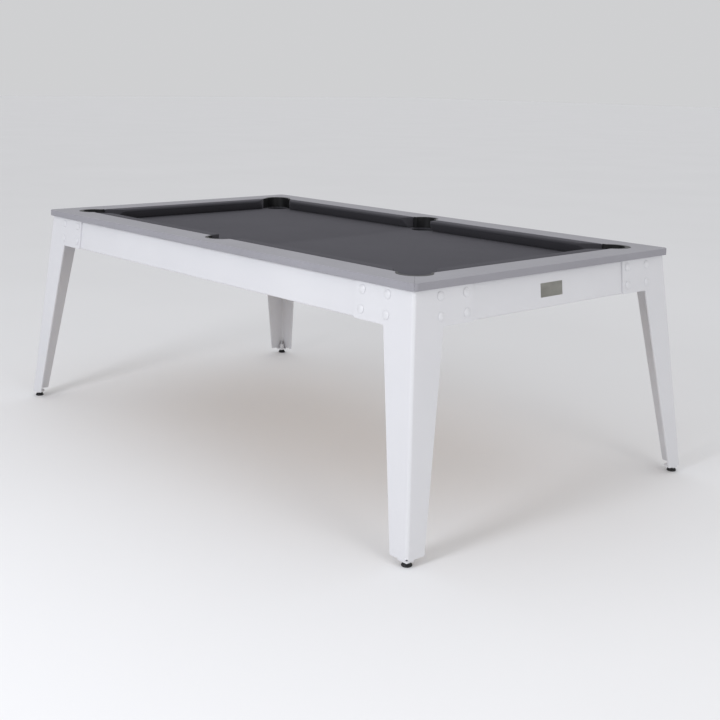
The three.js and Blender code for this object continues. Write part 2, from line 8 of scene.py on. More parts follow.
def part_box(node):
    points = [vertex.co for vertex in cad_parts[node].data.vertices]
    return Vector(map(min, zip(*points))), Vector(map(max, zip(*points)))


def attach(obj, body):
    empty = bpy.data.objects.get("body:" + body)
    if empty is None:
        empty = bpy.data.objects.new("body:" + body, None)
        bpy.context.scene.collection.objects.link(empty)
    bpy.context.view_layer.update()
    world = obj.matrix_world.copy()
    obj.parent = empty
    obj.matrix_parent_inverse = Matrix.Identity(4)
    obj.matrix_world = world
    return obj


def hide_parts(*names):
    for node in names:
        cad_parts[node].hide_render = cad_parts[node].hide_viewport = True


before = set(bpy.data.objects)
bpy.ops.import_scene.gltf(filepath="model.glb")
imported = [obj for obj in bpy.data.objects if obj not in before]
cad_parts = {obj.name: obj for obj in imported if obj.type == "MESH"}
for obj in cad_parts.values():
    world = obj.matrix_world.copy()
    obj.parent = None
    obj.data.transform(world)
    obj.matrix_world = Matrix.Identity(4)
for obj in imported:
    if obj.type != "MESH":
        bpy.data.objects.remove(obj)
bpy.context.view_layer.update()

# A dining-height pool table. Metres, +Z up, origin on the floor under the middle of the table.
# The end with the nameplate is the front (+X); left (-Y) and right (+Y) are seen from that end.

# ---- Sizes read from the frame ----

HALF_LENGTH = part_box("rail_front")[1].x
HALF_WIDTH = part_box("rail_right")[1].y
TABLE_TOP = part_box("rail_front")[1].z
CLOTH_LOW, CLOTH_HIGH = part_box("bed_cloth")
CLOTH_TOP = CLOTH_HIGH.z
SLATE_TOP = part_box("slate")[1].z
BOARD_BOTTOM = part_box("bed_board")[0].z
APRON_BOTTOM, FRAME_TOP = (corner.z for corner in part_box("apron_right"))
BEAM_LOW, BEAM_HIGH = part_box("cross_beam_1")
CUP_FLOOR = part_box("pocket_cup_front_left")[0].z
PAD_LOW, PAD_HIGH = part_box("foot_pad_front_right")
STUD_LOW, STUD_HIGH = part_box("foot_stud_front_right")

# ---- Sizes of the details ----

GAP = 0.0003  # between pieces that touch
SAME = 1e-6  # points closer than this are one point
SPLAY = 0.0952  # legs and aprons lean out this much per unit of height
SPLAY_ANGLE = math.degrees(math.atan(SPLAY))

RAIL_THICKNESS = 0.022
RAIL_WIDTH = 0.100
RAIL_CORNER_RADIUS = 0.016
RAIL_EDGE = 0.0012
RAIL_CORE_INSET = 0.052
CORE_EDGE = 0.0005
MITRE_GAP = 0.00025
MITRE_EDGE = 0.15  # the mitre's edges are eased this share as much as the others

CUSHION_WIDTH = 0.052
CUSHION_NOSE_RADIUS = 0.006
CUSHION_UNDERCUT = 0.003
CUSHION_FOOT = 0.026
CUSHION_STEP = 0.008  # spacing of the mesh along a cushion
CLOTH_SWELL = 0.0009  # how far the stretched cloth may stand off the rubber
CLOTH_FRAMES = 16  # length of the simulation that stretches it
CORNER_JAW = {"back": 0.185, "nose": 0.234, "radius": 0.026}  # from the outer corner
SIDE_JAW = {"back": 0.061, "nose": 0.069, "radius": 0.018}  # from the middle of the long rail

RAIL_CUT_RADIUS = 0.054
CORNER_CUT_INSET = 0.124  # middle of the cut in the rails from both outer edges
SIDE_CUT_INSET = 0.104
CORNER_CUP_INSET = 0.131  # middle of the cup and of the opening over it
SIDE_CUP_INSET = 0.107
CORNER_EAR_RADIUS = 0.018
SIDE_EAR_RADIUS = 0.006
LINER_BORE_RADIUS = 0.0465
LINER_EDGE = 0.001
LINER_TIP = 0.0028  # thickness of its two ends
LINER_OPENING = {"corner": 0.0074, "side": -0.007}  # its opening ends this far past the cup's middle
LINER_REACH = {"corner": 0.0033, "side": 0.0012}  # how far its ends run on along the rails
CUP_HOLE_RADIUS = 0.046
CUP_RADIUS = 0.0455
CUP_WALL = 0.0025
CUP_FLANGE_RADIUS = 0.060

CLOTH_TURN = 0.003  # radius of the cloth over the lip of a pocket
CLOTH_TUCK = 0.009  # how far the cloth hangs down the slate inside a pocket
CLOTH_THICKNESS = 0.0009
WEAVE_PITCH = 0.0009
PLY_THICKNESS = 0.003

LEG_INSET = 0.0105
LEG_PLATE = 0.005
LEG_TOE_Z = 0.0216
LEG_DROP = FRAME_TOP - LEG_TOE_Z
FOLD_RADIUS = 0.011
FOLD_STRIPS = 10
GUSSET_REACH = 0.226
GUSSET_DROP = 0.106
KNEE_WIDTH = 0.115
KNEE_RADIUS = 0.006
TOE_WIDTH = 0.0665
TOE_CHAMFER = 0.0025
FOLD_RELIEF = 0.005  # the notch at the bottom of the fold
PLATE_EDGE = 0.0008

APRON_PLATE = 0.003
APRON_LIP = 0.030
APRON_BEND = 0.005
APRON_CUT = 0.0006  # radius left on the cut edges of its lips
APRON_EDGE = 0.0005
APRON_INSET = LEG_INSET + LEG_PLATE + GAP
APRON_RELIEF = 0.008

BOLT_COLUMNS = (0.0985, 0.1995)  # from the fold at the top of the leg
BOLT_ROWS = (0.023, 0.079)  # below the top of the leg
BOLT_HEAD_RADIUS = 0.013
BOLT_HEAD_HEIGHT = 0.0046
BOLT_RIM = 0.0011
BOLT_EDGE = 0.0003
SHANK_RADIUS = 0.0047
SHANK_REACH = 0.0033  # past the nut
SHANK_CHAMFER = 0.0008
WASHER_RADIUS = 0.012
WASHER_THICKNESS = 0.0015
NUT_RADIUS = 0.0095
NUT_HEIGHT = 0.007
NUT_CORNER = 0.0006
CLAMP_WIDTH = 0.140
CLAMP_HEIGHT = 0.088
CLAMP_THICKNESS = 0.005
CLAMP_CORNER = 0.005
CLAMP_EDGE = 0.0006

BEAM_WALL = 0.003
BEAM_CORNER = 0.005
BEAM_EDGE = 0.0004

FOOT_INSET = 0.0203
FOOT_PLATE_SIZE = 0.036
FOOT_PLATE_THICKNESS = 0.006
FOOT_PLATE_CORNER = 0.002
FOOT_PLATE_TIP = 0.014  # radius of the corner under the fold of the leg
SLEEVE_RADIUS = 0.010
WELD = 0.001  # how far the plate runs into the wall of the sleeve
SLEEVE_BOTTOM_Z = 0.014
SLEEVE_TOP_Z = 0.040
STUD_RADIUS = 0.005
STUD_HEX_RADIUS = 0.0046
STUD_HEX_HEIGHT = 0.006
THREAD_PITCH = 0.0015
THREAD_DEPTH = 0.0009

NAMEPLATE_WIDTH = 0.100
NAMEPLATE_HEIGHT = 0.042
NAMEPLATE_THICKNESS = 0.0015
NAMEPLATE_DROP = 0.0535
NAMEPLATE_BORDER = 0.0028
NAMEPLATE_CORNER = 0.0015
NAMEPLATE_RECESS = 0.0005
NAMEPLATE_EDGE = 0.0003

SIDES = [
    {"name": "right", "turn": 0, "run": HALF_LENGTH, "depth": HALF_WIDTH, "ends": ("front", "rear")},
    {"name": "left", "turn": 180, "run": HALF_LENGTH, "depth": HALF_WIDTH, "ends": ("rear", "front")},
    {"name": "front", "turn": -90, "run": HALF_WIDTH, "depth": HALF_LENGTH, "ends": ("left", "right")},
    {"name": "rear", "turn": 90, "run": HALF_WIDTH, "depth": HALF_LENGTH, "ends": ("right", "left")},
]
CORNERS = {
    "front_left": (1, -1),
    "front_right": (1, 1),
    "rear_left": (-1, -1),
    "rear_right": (-1, 1),
}


def rotation(degrees, axis):
    return Matrix.Rotation(math.radians(degrees), 4, axis)


Z_TO_FRONT = rotation(90, "X")  # turns +Z to -Y, and +Y up
Z_TO_BACK = rotation(-90, "X")  # turns +Z to +Y


# ---- Outlines ----


def arc(centre, radius, start, stop, steps):
    """Points round an arc. The angles are in degrees."""
    angles = [math.radians(start + (stop - start) * i / steps) for i in range(steps + 1)]
    return [Vector((centre[0] + radius * math.cos(a), centre[1] + radius * math.sin(a))) for a in angles]


def rounded(corners, steps=6):
    """A closed outline from (x, y, radius) corners, each turned round its own radius."""
    outline = []
    count = len(corners)
    for i, (x, y, radius) in enumerate(corners):
        here = Vector((x, y))
        before = (Vector(corners[i - 1][:2]) - here).normalized()
        after = (Vector(corners[(i + 1) % count][:2]) - here).normalized()
        if radius == 0:
            outline.append(here)
            continue
        half = before.angle(after) / 2
        centre = here + (before + after).normalized() * radius / math.sin(half)
        first = here + before * radius / math.tan(half) - centre
        last = here + after * radius / math.tan(half) - centre
        turn = first.angle_signed(last)
        for k in range(steps + 1):
            outline.append(centre + Matrix.Rotation(-turn * k / steps, 2) @ first)
    return outline


def box_outline(x0, x1, y0, y1, radius=0, steps=6):
    """A rectangle, square or round at its corners."""
    return rounded([(x0, y0, radius), (x1, y0, radius), (x1, y1, radius), (x0, y1, radius)], steps)


def circle(radius, count, middle=(0, 0)):
    return arc(middle, radius, 0, 360, count)[:-1]


def half_bite(centre, inner_y, ear_radius, stop):
    """The edge of a pocket cut, from the straight edge of the rail, round the ear, to the angle stop."""
    rise = inner_y + ear_radius - centre.y
    reach = RAIL_CUT_RADIUS + ear_radius
    ear = Vector((centre.x - math.sqrt(reach**2 - rise**2), inner_y + ear_radius))
    lean = math.degrees(math.atan2(centre.y - ear.y, centre.x - ear.x))
    return arc(ear, ear_radius, -90, lean, 8) + arc(centre, RAIL_CUT_RADIUS, lean + 180, stop, 20)[1:]


def mirrored(points):
    """The same points in reverse order, on the other side of x = 0."""
    return [Vector((-p.x, p.y)) for p in reversed(points)]


# ---- Solids ----


def ring_at(bm, outline, z):
    return [bm.verts.new((p[0], p[1], z)) for p in outline]


def skin(bm, rings, ends="capped"):
    """Joins each ring of vertices to the next. The two end rings are capped, joined or left open."""
    pairs = list(zip(rings, rings[1:]))
    if ends == "joined":
        pairs.append((rings[-1], rings[0]))
    for ring, after in pairs:
        for i in range(len(ring)):
            j = (i + 1) % len(ring)
            corners = dict.fromkeys((ring[i], ring[j], after[j], after[i]))
            bm.faces.new(list(corners))
    if ends == "capped":
        bm.faces.new(rings[0])
        bm.faces.new(rings[-1])


def prism(outline, z0, z1):
    """A solid raised from a flat outline."""
    bm = bmesh.new()
    skin(bm, [ring_at(bm, outline, z) for z in (z0, z1)])
    return bm


def pipe(outside, inside, z0, z1):
    """A solid raised between two flat outlines that have the same number of points."""
    bm = bmesh.new()
    loops = ((outside, z0), (outside, z1), (inside, z1), (inside, z0))
    skin(bm, [ring_at(bm, outline, z) for outline, z in loops], ends="joined")
    return bm


def run_between(section, start, stop):
    """A solid with a section of (y, z) points. start and stop give its ends in x for each y."""
    bm = bmesh.new()
    skin(bm, [[bm.verts.new((end(y), y, z)) for y, z in section] for end in (start, stop)])
    return bm


def turned(profile, segments, ends="open"):
    """A solid turned about Z from (radius, z) points that start and stop on Z, or whose ends are joined."""
    bm = bmesh.new()
    rings = []
    for radius, z in profile:
        if radius == 0:
            rings.append([bm.verts.new((0, 0, z))] * segments)
        else:
            rings.append(ring_at(bm, circle(radius, segments), z))
    skin(bm, rings, ends)
    return bm


def closed_edges(bm, ring):
    return [bm.edges.new(pair) for pair in zip(ring, ring[1:] + ring[:1])]


def mesh_from(bm, name):
    mesh = bpy.data.meshes.new(name)
    bm.to_mesh(mesh)
    bm.free()
    return mesh


def joined(*parts):
    """One bmesh that holds several."""
    whole = bmesh.new()
    for part in parts:
        mesh = mesh_from(part, "part")
        whole.from_mesh(mesh)
        bpy.data.meshes.remove(mesh)
    return whole


# ---- Pieces ----


def add_object(name, data):
    item = bpy.data.objects.new(name, data)
    bpy.context.scene.collection.objects.link(item)
    return item


def new_piece(node, part, bm, material, matrix=Matrix(), body="root"):
    """Puts a bmesh in place as a piece named after a CAD node, which it hides, and gives it the material
    passed in.
    """
    bm.transform(matrix)
    bmesh.ops.recalc_face_normals(bm, faces=bm.faces)
    name = f"{node}_{part}"
    mesh = mesh_from(bm, name)
    mesh.materials.append(material)
    mesh.shade_smooth()
    piece = add_object(name, mesh)
    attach(piece, body)
    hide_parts(node)
    return piece


def ease_edges(piece, width, angle=35, segments=3, share=None):
    """Rounds the edges sharper than angle. share(a, b) scales the rounding of the edge from a to b."""
    bm = bmesh.new()
    bm.from_mesh(piece.data)
    weights = bm.edges.layers.float.new("bevel_weight_edge")
    for edge in bm.edges:
        if len(edge.link_faces) == 2 and edge.calc_face_angle() > math.radians(angle):
            ends = [vertex.co for vertex in edge.verts]
            edge[weights] = share(*ends) if share else 1
    bm.to_mesh(piece.data)
    bm.free()
    bevel = piece.modifiers.new("eased edges", "BEVEL")
    bevel.width = width
    bevel.segments = segments
    bevel.limit_method = "WEIGHT"
    bevel.harden_normals = True


def side_matrix(side):
    return rotation(side["turn"], "Z")


# ---- Materials ----


def feed(tree, socket, value):
    """Links a socket to an output, or gives it a number, vector or colour. None leaves it as it is."""
    if isinstance(value, bpy.types.NodeSocket):
        tree.links.new(value, socket)
    elif value is not None:
        socket.default_value = (*value, 1) if socket.type == "RGBA" else value


def feed_all(tree, node, inputs):
    for name, value in inputs.items():
        feed(tree, node.inputs[name.replace("_", " ")], value)


def add_node(tree, kind, **inputs):
    node = tree.nodes.new("ShaderNode" + kind)
    feed_all(tree, node, inputs)
    return node


def new_material(name, **constants):
    """A material whose shader holds constant values. Returns it with its tree and shader."""
    material = bpy.data.materials.new(name)
    material.use_nodes = True
    tree = material.node_tree
    shader = tree.nodes["Principled BSDF"]
    feed_all(tree, shader, constants)
    return material, tree, shader


def object_space(tree, scale=(1, 1, 1), turn=(0, 0, 0)):
    """Coordinates in metres, stretched by scale and turned by degrees."""
    place = add_node(tree, "TexCoord").outputs["Object"]
    angles = [math.radians(a) for a in turn]
    return add_node(tree, "Mapping", Vector=place, Scale=scale, Rotation=angles).outputs["Vector"]


def noise(tree, place, scale, detail=3, roughness=0.55, distortion=0):
    shape = {"Detail": detail, "Roughness": roughness, "Distortion": distortion}
    return add_node(tree, "TexNoise", Vector=place, Scale=scale, **shape).outputs["Fac"]


def spread(tree, value, low=0.3, high=0.7, to_low=0.0, to_high=1.0):
    """Stretches the part of value between low and high to between to_low and to_high."""
    limits = {"From_Min": low, "From_Max": high, "To_Min": to_low, "To_Max": to_high}
    return add_node(tree, "MapRange", Value=value, **limits).outputs["Result"]


def maths(tree, operation, a, b=None):
    node = add_node(tree, "Math")
    node.operation = operation
    feed(tree, node.inputs[0], a)
    feed(tree, node.inputs[1], b)
    return node.outputs["Value"]


def weighted(tree, *terms):
    """The sum of values, each times its share."""
    total = None
    for value, share in terms:
        term = maths(tree, "MULTIPLY", value, share)
        total = term if total is None else maths(tree, "ADD", total, term)
    return total


def blend_colours(tree, factor, dark, light):
    node = add_node(tree, "Mix")
    node.data_type = "RGBA"
    feed_all(tree, node, {"Factor": factor, "A": dark, "B": light})
    return node.outputs["Result"]


def axis_of(tree, place, axis):
    return add_node(tree, "SeparateXYZ", Vector=place).outputs[axis]


def waves(tree, place, axis, pitch):
    phase = maths(tree, "MULTIPLY", axis_of(tree, place, axis), 2 * math.pi / pitch)
    return maths(tree, "SINE", phase)


def paint(tree, shader, colour, roughness):
    feed_all(tree, shader, {"Base_Color": colour, "Roughness": roughness})


def raise_surface(tree, shader, *layers):
    """Bumps the surface by layers of (height, strength, distance)."""
    below = None
    for height, strength, distance in layers:
        bump = add_node(tree, "Bump", Height=height, Strength=strength, Distance=distance, Normal=below)
        below = bump.outputs["Normal"]
    feed(tree, shader.inputs["Normal"], below)


def powder_coat(name, dark, light):
    """Satin powder coat: a fine orange-peel texture and a slow drift in tone and gloss."""
    material, tree, shader = new_material(name, IOR=1.48, Coat_Weight=0.12, Coat_Roughness=0.28)
    place = object_space(tree)
    drift = spread(tree, noise(tree, place, 3.2, 4))
    gloss = spread(tree, noise(tree, place, 14, 4), 0.3, 0.7, 0.36, 0.46)
    paint(tree, shader, blend_colours(tree, drift, dark, light), gloss)
    peel = noise(tree, place, 900, 2, 0.5)
    grit = noise(tree, place, 2600, 2, 0.6)
    raise_surface(tree, shader, (peel, 0.22, 0.0004), (grit, 0.12, 0.00015))
    return material


def rail_laminate(dark, light):
    """Grey furniture laminate: a satin sheet with a fine pressed grain and faint handling marks."""
    material, tree, shader = new_material("grey laminate", IOR=1.45, Specular_IOR_Level=0.22)
    place = object_space(tree)
    cloudy = spread(tree, noise(tree, place, 5.5, 5, 0.6))
    flecks = spread(tree, noise(tree, place, 420, 3, 0.7), 0.35, 0.65)
    tone = weighted(tree, (cloudy, 0.6), (flecks, 0.4))
    scuffs = spread(tree, noise(tree, object_space(tree, (6, 60, 6), (0, 0, 24)), 9, 4, 0.7), 0.45, 0.75)
    paint(tree, shader, blend_colours(tree, tone, dark, light), spread(tree, scuffs, 0, 1, 0.44, 0.51))
    grain = noise(tree, place, 1500, 3, 0.6)
    raise_surface(tree, shader, (grain, 0.16, 0.0002), (scuffs, 0.04, 0.0002))
    return material


def pool_cloth(name, dark, light):
    """Worsted pool cloth: a tight plain weave under a short nap, with a soft sheen."""
    sheen = {"Sheen_Weight": 0.10, "Sheen_Roughness": 0.5, "Sheen_Tint": (0.75, 0.74, 0.82)}
    material, tree, shader = new_material(name, IOR=1.4, Specular_IOR_Level=0.08, **sheen)
    place = object_space(tree)
    warp, weft = (waves(tree, place, axis, WEAVE_PITCH) for axis in "XY")
    weave = maths(tree, "MULTIPLY", warp, weft)
    nap = noise(tree, object_space(tree, (1, 3, 1)), 700, 4, 0.7)
    slubs = spread(tree, noise(tree, object_space(tree, (14, 160, 30)), 3, 3, 0.6), 0.35, 0.7)
    worn = spread(tree, noise(tree, place, 2.6, 5, 0.6))
    tone = weighted(tree, (worn, 0.45), (slubs, 0.2), (nap, 0.35))
    paint(tree, shader, blend_colours(tree, tone, dark, light), spread(tree, nap, 0.3, 0.7, 0.86, 0.98))
    raise_surface(tree, shader, (weave, 0.25, 0.00012), (nap, 0.35, 0.0003))
    return material


def moulded_plastic(name, dark, light, roughness):
    """Black moulded plastic with a fine spark-eroded texture."""
    material, tree, shader = new_material(name, IOR=1.5, Specular_IOR_Level=0.35)
    place = object_space(tree)
    cloudy = spread(tree, noise(tree, place, 40, 3))
    grain = noise(tree, place, 1800, 3, 0.6)
    gloss = spread(tree, grain, 0.3, 0.7, roughness - 0.05, roughness + 0.07)
    paint(tree, shader, blend_colours(tree, cloudy, dark, light), gloss)
    raise_surface(tree, shader, (grain, 0.3, 0.0002))
    return material


def zinc_steel():
    """Zinc-plated steel: a cool bright metal with a mottled passivation."""
    material, tree, shader = new_material("zinc plate", Metallic=1.0)
    place = object_space(tree)
    mottle = spread(tree, noise(tree, place, 160, 4, 0.6))
    colour = blend_colours(tree, mottle, (0.46, 0.47, 0.49), (0.66, 0.67, 0.68))
    paint(tree, shader, colour, spread(tree, mottle, 0, 1, 0.24, 0.42))
    raise_surface(tree, shader, (noise(tree, place, 1200, 2), 0.12, 0.0001))
    return material


def brushed_plate():
    """A brushed metal plate: fine lines along its length and a slow drift in tone."""
    material, tree, shader = new_material("brushed plate", Metallic=1.0, Anisotropic=0.35)
    lines = noise(tree, object_space(tree, (1, 12, 2200)), 1.0, 4, 0.7)
    drift = noise(tree, object_space(tree), 30, 2)
    tone = spread(tree, weighted(tree, (lines, 0.7), (drift, 0.3)), 0.35, 0.65)
    colour = blend_colours(tree, tone, (0.37, 0.365, 0.33), (0.52, 0.515, 0.47))
    paint(tree, shader, colour, spread(tree, lines, 0.3, 0.7, 0.34, 0.5))
    raise_surface(tree, shader, (lines, 0.2, 0.0001))
    return material


def honed_slate():
    """Honed slate: dark grey with fine cleavage bands and pale mineral specks."""
    material, tree, shader = new_material("honed slate", IOR=1.5)
    place = object_space(tree)
    bands = noise(tree, object_space(tree, (2, 2, 90)), 4, 6, 0.65, 0.6)
    specks = spread(tree, noise(tree, place, 700, 2), 0.62, 0.78)
    base = blend_colours(tree, spread(tree, bands), (0.045, 0.05, 0.055), (0.1, 0.105, 0.11))
    colour = blend_colours(tree, specks, base, (0.22, 0.22, 0.23))
    paint(tree, shader, colour, spread(tree, bands, 0.3, 0.7, 0.55, 0.75))
    raise_surface(tree, shader, (bands, 0.25, 0.0006), (noise(tree, place, 500, 4), 0.2, 0.0003))
    return material


def birch_plywood(name, dark, light, glue_line):
    """Birch plywood: long grain on the faces, and dark glue lines between the plies at the edges."""
    material, tree, shader = new_material(name, IOR=1.45)
    streaks = noise(tree, object_space(tree, (1.2, 26, 26)), 2.2, 6, 0.65, 0.4)
    pores = noise(tree, object_space(tree, (60, 900, 900)), 1.0, 3, 0.6)
    face = blend_colours(tree, spread(tree, streaks), dark, light)
    glue = spread(tree, waves(tree, object_space(tree), "Z", PLY_THICKNESS), 0.86, 0.98)
    normal = add_node(tree, "NewGeometry").outputs["Normal"]
    upright = maths(tree, "SUBTRACT", 1, maths(tree, "ABSOLUTE", axis_of(tree, normal, "Z")))
    colour = blend_colours(tree, maths(tree, "MULTIPLY", glue, upright), face, glue_line)
    paint(tree, shader, colour, spread(tree, pores, 0.3, 0.7, 0.5, 0.68))
    raise_surface(tree, shader, (streaks, 0.12, 0.0006), (pores, 0.2, 0.0003))
    return material


WHITE = powder_coat("white powder coat", (0.69, 0.69, 0.715), (0.72, 0.72, 0.743))
BEAM_WHITE = powder_coat("white coat on beams", (0.68, 0.68, 0.70), (0.74, 0.74, 0.76))
LAMINATE = rail_laminate((0.30, 0.295, 0.322), (0.345, 0.34, 0.37))
CLOTH = pool_cloth("charcoal cloth", (0.048, 0.0465, 0.053), (0.070, 0.068, 0.077))
POCKET_BLACK = moulded_plastic("black pocket plastic", (0.005, 0.005, 0.006), (0.011, 0.011, 0.012), 0.45)
FOOT_BLACK = moulded_plastic("black foot nylon", (0.008, 0.008, 0.009), (0.018, 0.018, 0.02), 0.5)
ZINC = zinc_steel()
PLATE_METAL = brushed_plate()
SLATE = honed_slate()
PLYWOOD = birch_plywood("birch plywood", (0.42, 0.27, 0.14), (0.62, 0.45, 0.27), (0.14, 0.08, 0.045))
STAINED_PLY = birch_plywood(
    "black stained plywood", (0.012, 0.011, 0.011), (0.03, 0.028, 0.027), (0.006, 0.005, 0.005)
)


# ---- Rails ----


def corner_centre(run, depth):
    return Vector((run - CORNER_CUT_INSET, depth - CORNER_CUT_INSET))


def side_centre():
    return Vector((0, HALF_WIDTH - SIDE_CUT_INSET))


def rail_inner_half(side):
    """The inner edge of a rail from its middle to the mitre, round the pocket cuts."""
    run, depth = side["run"], side["depth"]
    inner = depth - RAIL_WIDTH
    edge = []
    if run > depth:
        edge += mirrored(half_bite(side_centre(), inner, SIDE_EAR_RADIUS, 90))
    edge += half_bite(corner_centre(run, depth), inner, CORNER_EAR_RADIUS, 45)
    return [Vector((min(p.x, run - MITRE_GAP - (depth - p.y)), p.y)) for p in edge]


def closed_by_mirror(half):
    """A closed outline from one half that runs from x = 0 out and back."""
    whole = half + mirrored(half)
    return [p for i, p in enumerate(whole) if (p - whole[i - 1]).length > SAME]


def rail_board(side):
    run, depth = side["run"], side["depth"]
    r = RAIL_CORNER_RADIUS
    half = rail_inner_half(side) + arc((run - r - MITRE_GAP, depth - r), r, 45, 90, 6)
    return prism(closed_by_mirror(half), TABLE_TOP - RAIL_THICKNESS, TABLE_TOP)


def rail_core(side):
    """The wooden core glued under the board, which the cushion is fixed to."""
    run, depth = side["run"], side["depth"]
    outer = depth - RAIL_CORE_INSET
    end = run - RAIL_CORE_INSET - MITRE_GAP
    half = rail_inner_half(side) + [Vector((end, outer))]
    return prism(closed_by_mirror(half), CLOTH_TOP + GAP, TABLE_TOP - RAIL_THICKNESS - GAP)


def on_mitre(a, b):
    """How much an edge of a rail is rounded: little where two rails meet on the diagonal."""
    off = max(abs(HALF_LENGTH - abs(p.x) - (HALF_WIDTH - abs(p.y))) for p in (a, b))
    return MITRE_EDGE if off < 4 * MITRE_GAP else 1


def make_rails():
    for side in SIDES:
        node = "rail_" + side["name"]
        place = side_matrix(side)
        board = new_piece(node, "board", rail_board(side), LAMINATE, place)
        ease_edges(board, RAIL_EDGE, share=on_mitre)
        core = new_piece(node, "core", rail_core(side), STAINED_PLY, place)
        ease_edges(core, CORE_EDGE, segments=1)


# ---- Cushions ----


def cushion_stations():
    """Across a cushion, from its back to its nose: (distance, lowest height, highest height)."""
    top = TABLE_TOP - CLOTH_TOP - GAP - CLOTH_SWELL
    width = CUSHION_WIDTH - CLOTH_SWELL
    r = CUSHION_NOSE_RADIUS
    rise = top - 2 * r - GAP
    reach = width - CUSHION_UNDERCUT - CUSHION_FOOT
    stations = []
    flat = width - r
    for i in range(9):
        distance = flat * i / 8
        slope = max(0, distance - CUSHION_FOOT) / reach
        stations.append((distance, GAP + slope * rise, top))
    for i in range(1, 6):
        angle = math.pi / 2 * i / 5
        distance = flat + r * math.sin(angle)
        slope = min(1, (distance - CUSHION_FOOT) / reach)
        face = GAP + slope * rise
        under = top - r - r * math.cos(angle)
        stations.append((distance, max(face, under) if i < 5 else top - r, top - r + r * math.cos(angle)))
    return stations


def jaw_place(jaw, distance):
    """Where the end of a cushion stands along the side, at a distance from the cushion's back."""
    back, nose, radius = jaw["back"], jaw["nose"], jaw["radius"]
    width = CUSHION_WIDTH - CLOTH_SWELL
    share = radius / math.hypot(nose - back, width)
    facing = 1 - share
    across = distance / width
    if across <= facing:
        return back + (nose - back) * across
    left = math.sqrt(max(0, (1 - across) / share))
    facing_at = back + (nose - back) * facing
    front_at = nose + radius
    return left**2 * facing_at + 2 * left * (1 - left) * nose + (1 - left) ** 2 * front_at


def cushion_shell(low, high):
    """A cushion along X with its back on y = 0. low and high give its ends for each distance."""
    stations = cushion_stations()
    length = high(0) - low(0)
    steps = round(length / CUSHION_STEP)
    near_end = 0.35 / steps  # an extra row close to each end
    shares = [0, near_end] + [i / steps for i in range(1, steps)] + [1 - near_end, 1]
    rows = 5
    bm = bmesh.new()
    made = {}

    def vertex(i, k, m):
        distance, bottom, top = stations[k]
        key = (i, k, 0 if top - bottom < SAME else m)
        if key not in made:
            x = low(distance) + (high(distance) - low(distance)) * shares[i]
            z = CLOTH_TOP + bottom + (top - bottom) * m / rows
            made[key] = bm.verts.new((x, -distance, z))
        return made[key]

    def face(*keys):
        corners = dict.fromkeys(vertex(*key) for key in keys)
        if len(corners) > 2:
            bm.faces.new(list(corners))

    last, nose = len(shares) - 1, len(stations) - 1
    for i in range(last):
        for k in range(nose):
            for m in (0, rows):
                face((i, k, m), (i + 1, k, m), (i + 1, k + 1, m), (i, k + 1, m))
        for m in range(rows):
            face((i, 0, m), (i + 1, 0, m), (i + 1, 0, m + 1), (i, 0, m + 1))
    for i in (0, last):
        for k in range(nose):
            for m in range(rows):
                face((i, k, m), (i, k + 1, m), (i, k + 1, m + 1), (i, k, m + 1))
    return bm


def stretch_cloth(piece):
    """Stretches the cloth over the rubber: a short cloth simulation that lifts it by a little at most."""
    points = piece.data.vertices
    held = piece.vertex_groups.new(name="held")
    limit = CLOTH_TOP + 2 * GAP
    held.add([v.index for v in points if v.co.y > -GAP or v.co.z < limit], 1.0, "REPLACE")
    cloth = piece.modifiers.new("cloth", "CLOTH")
    settings = cloth.settings
    settings.quality = 6
    settings.mass = 0.3
    settings.tension_stiffness = 30
    settings.compression_stiffness = 30
    settings.shear_stiffness = 15
    settings.bending_stiffness = 2
    settings.vertex_group_mass = "held"
    settings.use_pressure = True
    settings.uniform_pressure_force = 4
    settings.effector_weights.gravity = 0
    cloth.point_cache.frame_start = 1
    cloth.point_cache.frame_end = CLOTH_FRAMES
    scene = bpy.context.scene
    for number in range(1, CLOTH_FRAMES + 1):
        scene.frame_set(number)
    moved = piece.evaluated_get(bpy.context.evaluated_depsgraph_get()).data
    for before, after in zip(points, moved.vertices):
        step = after.co - before.co
        if step.length > CLOTH_SWELL:
            step = step.normalized() * CLOTH_SWELL
        before.co = before.co + step
    piece.modifiers.remove(cloth)
    piece.vertex_groups.remove(held)
    scene.frame_set(1)


def cushion_mesh(name, low, high):
    """One cushion's finished mesh, drawn along X with its back on y = 0."""
    bm = cushion_shell(low, high)
    bmesh.ops.recalc_face_normals(bm, faces=bm.faces)
    mesh = mesh_from(bm, name)
    pattern = add_object(name, mesh)
    stretch_cloth(pattern)
    bpy.data.objects.remove(pattern)
    return mesh


def place_cushion(node, mesh, matrix):
    bm = bmesh.new()
    bm.from_mesh(mesh)
    piece = new_piece(node, "cover", bm, CLOTH, matrix)
    smooth = piece.modifiers.new("fine surface", "SUBSURF")
    smooth.levels = 1
    smooth.render_levels = 1


def make_cushions():
    end_mesh = cushion_mesh(
        "end cushion",
        lambda d: jaw_place(CORNER_JAW, d) - HALF_WIDTH,
        lambda d: HALF_WIDTH - jaw_place(CORNER_JAW, d),
    )
    long_mesh = cushion_mesh(
        "long cushion",
        lambda d: jaw_place(SIDE_JAW, d),
        lambda d: HALF_LENGTH - jaw_place(CORNER_JAW, d),
    )
    for side in SIDES:
        back = Matrix.Translation((0, side["depth"] - RAIL_WIDTH - GAP, 0))
        node = "cushion_" + side["name"]
        if side["run"] < side["depth"]:
            place_cushion(node, end_mesh, side_matrix(side) @ back)
            continue
        for end, mirror in zip(side["ends"], (1, -1)):
            flip = Matrix.Diagonal((mirror, 1, 1, 1))
            place_cushion(f"{node}_{end}", long_mesh, side_matrix(side) @ flip @ back)


# ---- Bed ----


